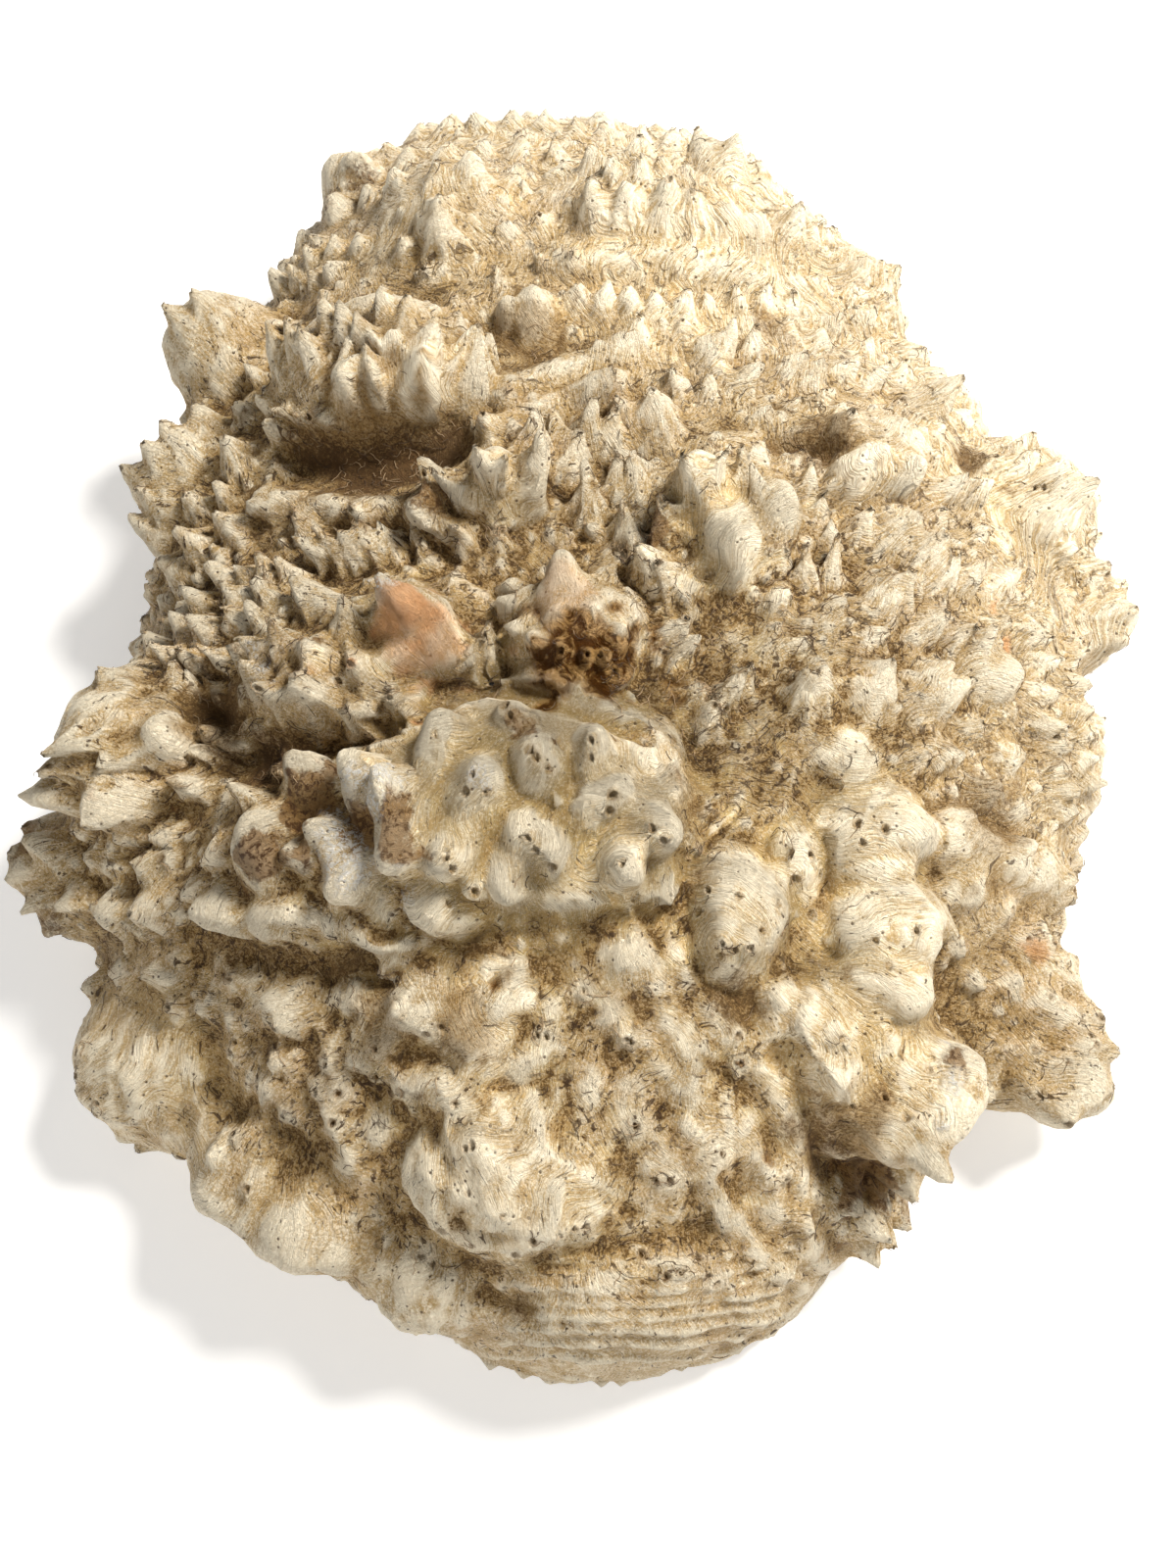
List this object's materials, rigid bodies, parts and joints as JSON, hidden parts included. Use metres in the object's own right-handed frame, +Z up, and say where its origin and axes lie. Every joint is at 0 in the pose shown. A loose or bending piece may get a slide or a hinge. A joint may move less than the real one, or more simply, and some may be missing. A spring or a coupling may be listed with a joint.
{
  "type": "mallee burl cap",
  "caption": "Domed natural burl cap, debarked, covered in blunt spikes, knobs and lobes, with a flat sawn underside to rest on.",
  "frame": {"origin": "middle of the bounding box's bottom face, on the sawn face", "axes": "+Z up from the sawn face through the dome; -Y towards the viewer of the picture, +Y the far end, +X the viewer's right"},
  "size_m": [0.2932, 0.3739, 0.1066],
  "materials": {
    "burl_wood": "bare, dry, fibrous"
  },
  "bodies": {
    "root": {"burl_cap": "burl_wood"}
  },
  "joints": []
}
